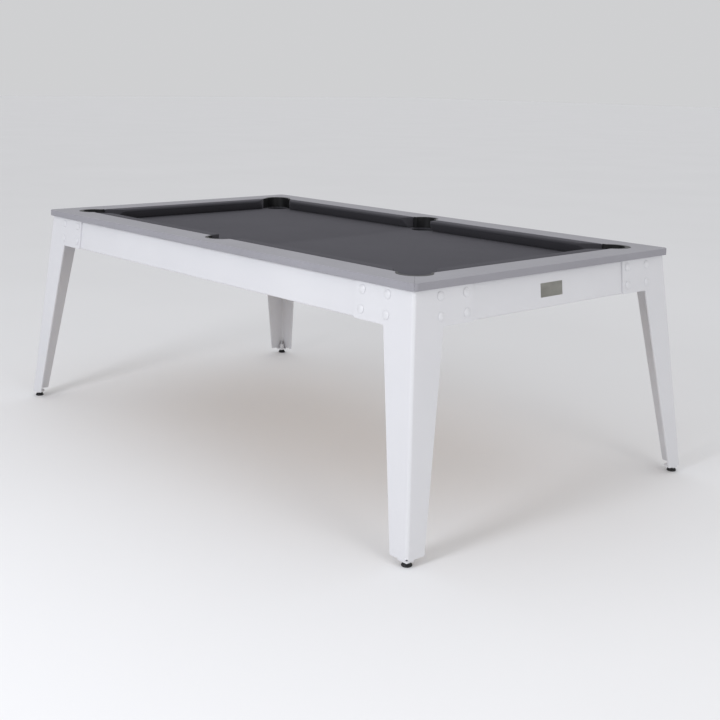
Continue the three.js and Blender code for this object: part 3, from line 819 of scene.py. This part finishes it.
def cup_places():
    """Pocket names with where their cups stand."""
    places = {}
    for name, (sx, sy) in CORNERS.items():
        places[name] = (sx * (HALF_LENGTH - CORNER_CUP_INSET), sy * (HALF_WIDTH - CORNER_CUP_INSET))
    places["middle_left"] = (0, SIDE_CUP_INSET - HALF_WIDTH)
    places["middle_right"] = (0, HALF_WIDTH - SIDE_CUP_INSET)
    return places


def cloth_surface():
    """The bed cloth as one surface: flat, with a soft turn down into each pocket."""
    bm = bmesh.new()
    rim = box_outline(CLOTH_LOW.x, CLOTH_HIGH.x, CLOTH_LOW.y, CLOTH_HIGH.y)
    edges = closed_edges(bm, ring_at(bm, rim, CLOTH_TOP))
    segments = 48
    hole = CUP_HOLE_RADIUS - CLOTH_THICKNESS
    profile = [(hole + CLOTH_TURN, CLOTH_TOP)]
    for i in range(1, 6):
        angle = math.pi / 2 * i / 5
        radius = hole + CLOTH_TURN * (1 - math.sin(angle))
        profile.append((radius, CLOTH_TOP - CLOTH_TURN * (1 - math.cos(angle))))
    profile.append((hole, CLOTH_TOP - CLOTH_TUCK))
    for place in cup_places().values():
        rings = [ring_at(bm, circle(radius, segments, place), z) for radius, z in profile]
        edges += closed_edges(bm, rings[0])
        skin(bm, rings, ends="open")
    bmesh.ops.triangle_fill(bm, use_beauty=True, edges=edges, normal=(0, 0, 1))
    return bm


def make_bed():
    cloth = new_piece("bed_cloth", "stretched", cloth_surface(), CLOTH)
    if sum(p.normal.z * p.area for p in cloth.data.polygons) < 0:
        cloth.data.flip_normals()
    body = cloth.modifiers.new("thickness", "SOLIDIFY")
    body.thickness = CLOTH_THICKNESS
    body.offset = -1
    for node, material in (("slate", SLATE), ("bed_board", PLYWOOD)):
        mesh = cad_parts[node].data
        mesh.materials.clear()
        mesh.materials.append(material)


# ---- Pockets ----


def liner_solid(kind, edge, cup, heading):
    """A liner from the cut edge of the rails to the opening over the cup, with its open side at heading."""
    first = edge[0] + (edge[0] - edge[1]).normalized() * LINER_REACH[kind]
    last = edge[-1] + (edge[-1] - edge[-2]).normalized() * LINER_REACH[kind]
    edge = [first] + edge + [last]
    outer = []
    tips = []
    for i, point in enumerate(edge):
        along = (edge[min(len(edge) - 1, i + 1)] - edge[max(0, i - 1)]).normalized()
        inward = Vector((along.y, -along.x))
        outer.append(point + inward * GAP)
        if i in (0, len(edge) - 1):
            tips.append(point + inward * LINER_TIP)
    gape = math.degrees(math.acos(LINER_OPENING[kind] / LINER_BORE_RADIUS))
    bore = arc(cup, LINER_BORE_RADIUS, heading + gape, heading + 360 - gape, 48)
    return prism([tips[0]] + outer + [tips[1]] + bore, CLOTH_TOP + GAP, TABLE_TOP)


def corner_liner():
    """The liner of the corner pocket at +X and +Y."""
    centre = corner_centre(HALF_LENGTH, HALF_WIDTH)
    half = half_bite(centre, HALF_WIDTH - RAIL_WIDTH, CORNER_EAR_RADIUS, 45)
    other = [Vector((centre.x + p.y - centre.y, centre.y + p.x - centre.x)) for p in reversed(half[:-1])]
    cup = Vector((HALF_LENGTH - CORNER_CUP_INSET, HALF_WIDTH - CORNER_CUP_INSET))
    return liner_solid("corner", half + other, cup, 225)


def side_liner():
    """The liner of the middle pocket at +Y."""
    half = half_bite(side_centre(), HALF_WIDTH - RAIL_WIDTH, SIDE_EAR_RADIUS, 90)
    cup = Vector((0, HALF_WIDTH - SIDE_CUP_INSET))
    return liner_solid("side", half + mirrored(half[:-1]), cup, 270)


def cup_solid():
    """A moulded cup with a rolled rim, a ledge round the floor and a flange under the board."""
    floor = CUP_FLOOR
    rim = SLATE_TOP - CLOTH_TUCK - 0.002
    outside, wide = CUP_RADIUS, CUP_FLANGE_RADIUS
    inside = outside - CUP_WALL
    flange = BOARD_BOTTOM - GAP
    profile = [
        (0, floor),
        (inside - 0.006, floor),
        (outside - 0.002, floor + 0.002),
        (outside, floor + 0.007),
        (outside, flange - 0.004),
        (outside + 0.001, flange - 0.003),
        (wide - 0.0005, flange - 0.003),
        (wide, flange - 0.0025),
        (wide, flange - 0.0005),
        (wide - 0.0005, flange),
        (outside, flange),
        (outside, rim - 0.001),
        (outside - 0.0008, rim),
        (inside + 0.0008, rim),
        (inside, rim - 0.001),
        (inside, floor + 0.014),
        (inside - 0.002, floor + 0.0125),
        (inside - 0.003, floor + 0.009),
        (inside - 0.008, floor + 0.0045),
        (inside - 0.013, floor + CUP_WALL),
        (0, floor + CUP_WALL),
    ]
    return turned(profile, 64)


def make_pockets():
    for name, (x, y) in cup_places().items():
        solid = side_liner() if x == 0 else corner_liner()
        flip = Matrix.Diagonal((math.copysign(1, x), math.copysign(1, y), 1, 1))
        liner = new_piece("pocket_liner_" + name, "moulding", solid, POCKET_BLACK, flip)
        ease_edges(liner, LINER_EDGE, angle=60)
    for name, (x, y) in cup_places().items():
        place = Matrix.Translation((x, y, 0))
        new_piece("pocket_cup_" + name, "moulding", cup_solid(), POCKET_BLACK, place)


# ---- Legs ----


def flange_outline():
    """The edge of one flange from the top of its wing down to the fold: (inward, drop) points."""
    knee = KNEE_WIDTH - SPLAY * GUSSET_DROP
    toe = TOE_WIDTH - SPLAY * LEG_DROP
    corners = [
        (GUSSET_REACH, 0, 0),
        (GUSSET_REACH, GUSSET_DROP, KNEE_RADIUS),
        (knee, GUSSET_DROP, KNEE_RADIUS),
        (toe, LEG_DROP - TOE_CHAMFER, 0.001),
        (toe - TOE_CHAMFER, LEG_DROP, 0.001),
        (-SPLAY * LEG_DROP, LEG_DROP, 0),
    ]
    return rounded(corners)[:-1]  # without the point on the fold


def leg_plate():
    """A leg folded from one plate, at the +X +Y corner, with its origin at the top of the fold."""
    half_fold = FOLD_RADIUS * math.pi / 4
    half = []
    for inward, drop in flange_outline():
        across = inward + SPLAY * drop
        half.append(Vector((half_fold + across - FOLD_RADIUS, drop)))
    half += arc((0, LEG_DROP), FOLD_RELIEF, 0, -90, 5)
    flat = bmesh.new()
    flat.faces.new([flat.verts.new((p.x, p.y, 0)) for p in half + mirrored(half[:-1])])
    for i in range(FOLD_STRIPS + 1):
        at = half_fold * (2 * i / FOLD_STRIPS - 1)
        geometry = flat.verts[:] + flat.edges[:] + flat.faces[:]
        bmesh.ops.bisect_plane(flat, geom=geometry, plane_co=(at, 0, 0), plane_no=(1, 0, 0), dist=1e-7)

    def folded(point, inset):
        around, drop = point.x, point.y
        centre = -FOLD_RADIUS
        if abs(around) <= half_fold + SAME:
            angle = math.pi / 4 - around / FOLD_RADIUS
            radius = FOLD_RADIUS - inset
            x, y = centre + radius * math.cos(angle), centre + radius * math.sin(angle)
        elif around > 0:
            x, y = -inset, centre - (around - half_fold)
        else:
            x, y = centre + (around + half_fold), -inset
        return x + SPLAY * drop, y + SPLAY * drop, -drop

    bm = bmesh.new()
    outer = {v: bm.verts.new(folded(v.co, 0)) for v in flat.verts}
    inner = {v: bm.verts.new(folded(v.co, LEG_PLATE)) for v in flat.verts}
    for face in flat.faces:
        bm.faces.new([outer[v] for v in face.verts])
        bm.faces.new([inner[v] for v in reversed(face.verts)])
    for edge in flat.edges:
        if edge.is_boundary:
            a, b = edge.verts
            bm.faces.new((outer[a], outer[b], inner[b], inner[a]))
    flat.free()
    return bm


def leg_matrix(sx, sy):
    place = Matrix.Translation((sx * (HALF_LENGTH - LEG_INSET), sy * (HALF_WIDTH - LEG_INSET), FRAME_TOP))
    return place @ Matrix.Diagonal((sx, sy, 1, 1))


def foot_place(sx, sy):
    inset = LEG_INSET + FOOT_INSET - SPLAY * LEG_DROP
    return Matrix.Translation((sx * (HALF_LENGTH - inset), sy * (HALF_WIDTH - inset), 0))


def foot_plate():
    """A square plate, round at the outer corner, with a hole that the sleeve is welded into."""
    h, r = FOOT_PLATE_SIZE / 2, FOOT_PLATE_CORNER
    outside = rounded([(-h, -h, r), (h, -h, r), (h, h, FOOT_PLATE_TIP), (-h, h, r)], 8)
    inside = [p.normalized() * (SLEEVE_RADIUS - WELD) for p in outside]
    return pipe(outside, inside, LEG_TOE_Z - FOOT_PLATE_THICKNESS, LEG_TOE_Z)


def foot_sleeve():
    """The threaded sleeve welded through the foot plate, with its weld beads."""
    r, bore = SLEEVE_RADIUS, STUD_RADIUS + GAP
    top, bottom = SLEEVE_TOP_Z, SLEEVE_BOTTOM_Z
    plate_top, plate_low = LEG_TOE_Z, LEG_TOE_Z - FOOT_PLATE_THICKNESS
    profile = [
        (bore + 0.0006, bottom),
        (r - 0.0007, bottom),
        (r, bottom + 0.0007),
        (r, plate_low - 0.0004),
        (r + 0.0006, plate_low + 0.0005),
        (r + 0.0006, plate_top - 0.0005),
        (r + 0.0026, plate_top + 0.0001),
        (r + 0.0014, plate_top + 0.0012),
        (r, plate_top + 0.0027),
        (r, top - 0.0007),
        (r - 0.0007, top),
        (bore + 0.0006, top),
        (bore, top - 0.0006),
        (bore, bottom + 0.0006),
    ]
    return turned(profile, 48, ends="joined")


def make_legs():
    for name, (sx, sy) in CORNERS.items():
        node = "leg_" + name
        place = foot_place(sx, sy)
        plate = new_piece(node, "plate", leg_plate(), WHITE, leg_matrix(sx, sy))
        ease_edges(plate, PLATE_EDGE, angle=40)
        foot = new_piece(node, "foot_plate", foot_plate(), WHITE, place)
        ease_edges(foot, PLATE_EDGE)
        new_piece(node, "sleeve", foot_sleeve(), WHITE, place)


# ---- Levelling feet ----


def pad_solid():
    """A moulded swivel pad: a cone on a rim, with a ring under it that grips the floor."""
    radius = (PAD_HIGH.x - PAD_LOW.x) / 2
    top = PAD_HIGH.z
    bore = STUD_RADIUS + GAP
    seat = STUD_LOW.z - GAP
    profile = [
        (0, 0.0006),
        (radius - 0.0045, 0.0006),
        (radius - 0.0040, 0),
        (radius - 0.0022, 0),
        (radius - 0.0012, 0.0004),
        (radius, 0.0018),
        (radius, 0.0042),
        (radius - 0.0006, 0.0052),
        (radius - 0.0016, 0.0058),
        (0.0102, top - 0.0018),
        (0.0096, top - 0.0006),
        (0.0088, top),
        (bore + 0.0005, top),
        (bore, top - 0.0005),
        (bore, seat),
        (0, seat),
    ]
    return turned(profile, 56)


def stud_solid():
    """A threaded stud with a right-hand thread and a hexagon end."""
    segments = 24
    rows_per_turn = 6
    low, high = STUD_LOW.z, STUD_HIGH.z - STUD_HEX_HEIGHT
    rows = round((high - low) / THREAD_PITCH * rows_per_turn)
    bm = bmesh.new()
    rings = []
    for row in range(rows + 1):
        z = low + (high - low) * row / rows
        ends = min(1, min(row, rows - row) / rows_per_turn)
        ring = []
        for i in range(segments):
            turn = i / segments
            phase = (z / THREAD_PITCH - turn) % 1
            groove = THREAD_DEPTH * abs(2 * phase - 1) * ends + THREAD_DEPTH * (1 - ends)
            radius = STUD_RADIUS - groove
            angle = 2 * math.pi * turn
            ring.append(bm.verts.new((radius * math.cos(angle), radius * math.sin(angle), z)))
        rings.append(ring)
    skin(bm, rings)
    return joined(bm, prism(circle(STUD_HEX_RADIUS, 6), high - 0.0002, STUD_HIGH.z))


def make_feet():
    for name, (sx, sy) in CORNERS.items():
        pad, stud = "pad_" + name, "stud_" + name
        place = foot_place(sx, sy)
        new_piece("foot_" + pad, "moulding", pad_solid(), FOOT_BLACK, place, body=pad)
        new_piece("foot_" + stud, "threaded", stud_solid(), ZINC, place, body=stud)


# ---- Skirt and beams ----


def apron_section(depth):
    """A folded channel that leans out like the legs, as (y, z) points."""
    top, bottom = FRAME_TOP, APRON_BOTTOM
    outer = depth - APRON_INSET
    foot = outer + SPLAY * (top - bottom)
    wall, lip = APRON_PLATE, APRON_LIP
    inner_bend = APRON_BEND - wall
    corners = [
        (outer, top, APRON_BEND),
        (outer - lip, top, APRON_CUT),
        (outer - lip, top - wall, APRON_CUT),
        (outer + SPLAY * wall - wall, top - wall, inner_bend),
        (foot - SPLAY * wall - wall, bottom + wall, inner_bend),
        (foot - lip, bottom + wall, APRON_CUT),
        (foot - lip, bottom, APRON_CUT),
        (foot, bottom, APRON_BEND),
    ]
    return rounded(corners)


def apron_solid(side):
    run, depth = side["run"], side["depth"]
    end = run - APRON_INSET - APRON_RELIEF
    straight = depth - APRON_INSET - APRON_RELIEF

    def stop(y):
        return end - max(0, straight - y)

    return run_between(apron_section(depth), lambda y: -stop(y), stop)


def make_aprons():
    for side in SIDES:
        node = "apron_" + side["name"]
        apron = new_piece(node, "channel", apron_solid(side), WHITE, side_matrix(side))
        ease_edges(apron, APRON_EDGE, angle=50, segments=2)


def beam_tube():
    """A rectangular tube across the table, open at its ends."""
    x = (BEAM_HIGH.x - BEAM_LOW.x) / 2
    low, high = BEAM_LOW.z, BEAM_HIGH.z
    r, wall = BEAM_CORNER, BEAM_WALL
    outside = box_outline(-x, x, low, high, r, 5)
    inside = box_outline(wall - x, x - wall, low + wall, high - wall, r - wall, 5)
    bm = pipe(outside, inside, -BEAM_HIGH.y, BEAM_HIGH.y)
    bm.transform(Z_TO_FRONT)
    return bm


def make_beams():
    for number in range(1, 5):
        node = f"cross_beam_{number}"
        low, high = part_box(node)
        place = Matrix.Translation(((low.x + high.x) / 2, 0, 0))
        beam = new_piece(node, "tube", beam_tube(), BEAM_WHITE, place)
        ease_edges(beam, BEAM_EDGE, angle=50, segments=2)


# ---- Bolts ----


def plate_matrix(x, outer_y, drop):
    """X along the side, Y straight out of the leaning plate, Z up the plate."""
    place = Matrix.Translation((x, outer_y + SPLAY * drop, FRAME_TOP - drop))
    return place @ rotation(SPLAY_ANGLE, "X")


def bolt_head():
    """A dome head, from its rim on the plate to its crown, along +Z."""
    r, crown = BOLT_HEAD_RADIUS, BOLT_HEAD_HEIGHT
    rise = crown - BOLT_RIM
    dome = (r**2 + rise**2) / (2 * rise)
    half_angle = math.asin(r / dome)
    profile = [(0, -0.0015), (r - 0.0008, -0.0015), (r - 0.0003, 0.0002), (r, 0.0005)]
    for i in range(9):
        angle = half_angle * (1 - i / 9)
        profile.append((dome * math.sin(angle), crown - dome + dome * math.cos(angle)))
    profile.append((0, crown))
    return turned(profile, 40)


def nut_and_washer(back):
    """The washer, nut and shank end behind the clamp plate, from z = back down."""
    face = back - WASHER_THICKNESS
    washer = turned([(0, back), (WASHER_RADIUS, back), (WASHER_RADIUS, face), (0, face)], 32)
    high = face - 0.0001
    low = high - NUT_HEIGHT
    nut = prism(rounded([(*corner, NUT_CORNER) for corner in circle(NUT_RADIUS, 6)], 3), low, high)
    r, inside, end = SHANK_RADIUS, low + 0.001, low - SHANK_REACH
    profile = [(0, inside), (r, inside), (r, end + SHANK_CHAMFER), (r - SHANK_CHAMFER, end), (0, end)]
    return joined(nut, washer, turned(profile, 20))


def clamp_plate(back):
    """The plate behind the apron that the nuts pull on, from y = back outwards."""
    w, h = CLAMP_WIDTH / 2, CLAMP_HEIGHT / 2
    bm = prism(box_outline(-w, w, -h, h, CLAMP_CORNER, 5), -back - CLAMP_THICKNESS, -back)
    bm.transform(Z_TO_FRONT)
    return bm


def make_bolts():
    middle = sum(BOLT_COLUMNS) / 2
    drop = sum(BOLT_ROWS) / 2
    spread_x = (BOLT_COLUMNS[1] - BOLT_COLUMNS[0]) / 2
    slope = math.hypot(1, SPLAY)  # length along a leaning plate for each unit of height
    spread_z = (BOLT_ROWS[1] - BOLT_ROWS[0]) / 2 * slope
    stack = LEG_PLATE + APRON_PLATE * slope + 3 * GAP
    plate_back = -stack - CLAMP_THICKNESS
    for side in SIDES:
        for end, sign in zip(side["ends"], (1, -1)):
            node = f"bolts_{side['name']}_{end}"
            x = sign * (side["run"] - LEG_INSET - middle)
            place = side_matrix(side) @ plate_matrix(x, side["depth"] - LEG_INSET, drop)
            plate = new_piece(node, "clamp_plate", clamp_plate(plate_back), WHITE, place)
            ease_edges(plate, CLAMP_EDGE)
            spots = [(a, b) for a in (-spread_x, spread_x) for b in (-spread_z, spread_z)]
            for number, (column, row) in enumerate(spots, 1):
                at = place @ Matrix.Translation((column, 0, row)) @ Z_TO_BACK
                on_plate = at @ Matrix.Translation((0, 0, GAP))
                head = new_piece(node, f"head_{number}", bolt_head(), WHITE, on_plate)
                ease_edges(head, BOLT_EDGE, angle=50, segments=2)
                nut = new_piece(node, f"nut_{number}", nut_and_washer(plate_back), ZINC, at)
                ease_edges(nut, BOLT_EDGE, angle=50, segments=2)


# ---- Nameplate ----


def make_nameplate():
    """A blank brushed plate with a raised border."""
    w, h, border = NAMEPLATE_WIDTH / 2, NAMEPLATE_HEIGHT / 2, NAMEPLATE_BORDER
    bm = prism(box_outline(-w, w, -h, h, NAMEPLATE_CORNER, 4), 0, NAMEPLATE_THICKNESS)
    front = max(bm.faces, key=lambda face: face.calc_center_median().z)
    bmesh.ops.inset_region(bm, faces=[front], thickness=border, depth=0)
    bmesh.ops.inset_region(bm, faces=[front], thickness=NAMEPLATE_EDGE, depth=-NAMEPLATE_RECESS)
    side = SIDES[2]
    place = side_matrix(side) @ plate_matrix(0, side["depth"] - APRON_INSET, NAMEPLATE_DROP)
    place = place @ Matrix.Translation((0, GAP, 0)) @ rotation(180, "Z") @ Z_TO_BACK
    plate = new_piece("nameplate", "blank", bm, PLATE_METAL, place)
    ease_edges(plate, NAMEPLATE_EDGE, segments=2)


# ---- Floor, light and camera ----

BACKDROP_SIDE = (-0.70, 0.71, 0.0)
BACKDROP_LIGHT = 0.64
ROOM_LIGHT = 0.46
CEILING_LIGHT = 0.32

CAMERA_PLACE = (3.1227, -2.6954, 1.2750)
CAMERA_AZIMUTH = 49.21
CAMERA_ELEVATION = 7.90
CAMERA_ROLL = 1.02
CAMERA_LENS = 57.9
CAMERA_SENSOR = 36
CAMERA_SHIFT = (0.0417, -0.1667)

LIGHTS = {  # place, target, size, power, colour
    "key": ((0.9, -4.6, 2.5), (0.1, -0.5, 0.5), 1.3, 85, (0.93, 0.95, 1.0)),
    "fill": ((4.8, -0.9, 1.9), (1.0, 0, 0.5), 2.0, 32, (1.0, 0.99, 0.98)),
}
FLOOR_REACH = 60


def add_camera():
    data = bpy.data.cameras.new("camera")
    data.lens = CAMERA_LENS
    data.sensor_width = CAMERA_SENSOR
    data.shift_x, data.shift_y = CAMERA_SHIFT
    aim = rotation(CAMERA_AZIMUTH, "Z") @ rotation(90 - CAMERA_ELEVATION, "X") @ rotation(CAMERA_ROLL, "Z")
    camera = add_object("camera", data)
    camera.matrix_world = Matrix.Translation(CAMERA_PLACE) @ aim
    bpy.context.scene.camera = camera


def add_area_light(name, place, target, size, power, colour):
    data = bpy.data.lights.new(name, "AREA")
    data.shape = "DISK"
    data.size = size
    data.energy = power
    data.color = colour
    light = add_object(name, data)
    light.location = place
    light.rotation_euler = (Vector(target) - Vector(place)).to_track_quat("-Z", "Y").to_euler()


def add_studio():
    """A pale room, lightest behind the table and overhead, with a soft key and a soft fill."""
    world = bpy.data.worlds.new("studio")
    world.use_nodes = True
    tree = world.node_tree
    place = add_node(tree, "TexCoord").outputs["Generated"]
    facing = add_node(tree, "VectorMath")
    facing.operation = "DOT_PRODUCT"
    feed(tree, facing.inputs[0], place)
    feed(tree, facing.inputs[1], BACKDROP_SIDE)
    walls = spread(tree, facing.outputs["Value"], 0.0, 0.7, ROOM_LIGHT, BACKDROP_LIGHT)
    ceiling = spread(tree, axis_of(tree, place, "Z"), 0.1, 0.8, 0, CEILING_LIGHT)
    glow = maths(tree, "ADD", walls, ceiling)
    feed_all(tree, tree.nodes["Background"], {"Color": (0.98, 0.985, 1.0), "Strength": glow})
    bpy.context.scene.world = world
    bpy.context.scene.view_settings.view_transform = "Standard"
    for name, light in LIGHTS.items():
        add_area_light(name, *light)


def add_floor():
    material, tree, shader = new_material("pale floor", IOR=1.3)
    drift = noise(tree, object_space(tree), 0.8, 2)
    paint(tree, shader, blend_colours(tree, drift, (0.82, 0.82, 0.83), (0.86, 0.86, 0.87)), 0.75)
    bm = bmesh.new()
    r = FLOOR_REACH
    bm.faces.new(ring_at(bm, box_outline(-r, r, -r, r), 0))
    mesh = mesh_from(bm, "floor")
    mesh.materials.append(material)
    add_object("floor", mesh)


add_camera()
add_studio()
add_floor()
make_rails()
make_cushions()
make_bed()
make_pockets()
make_legs()
make_feet()
make_aprons()
make_beams()
make_bolts()
make_nameplate()
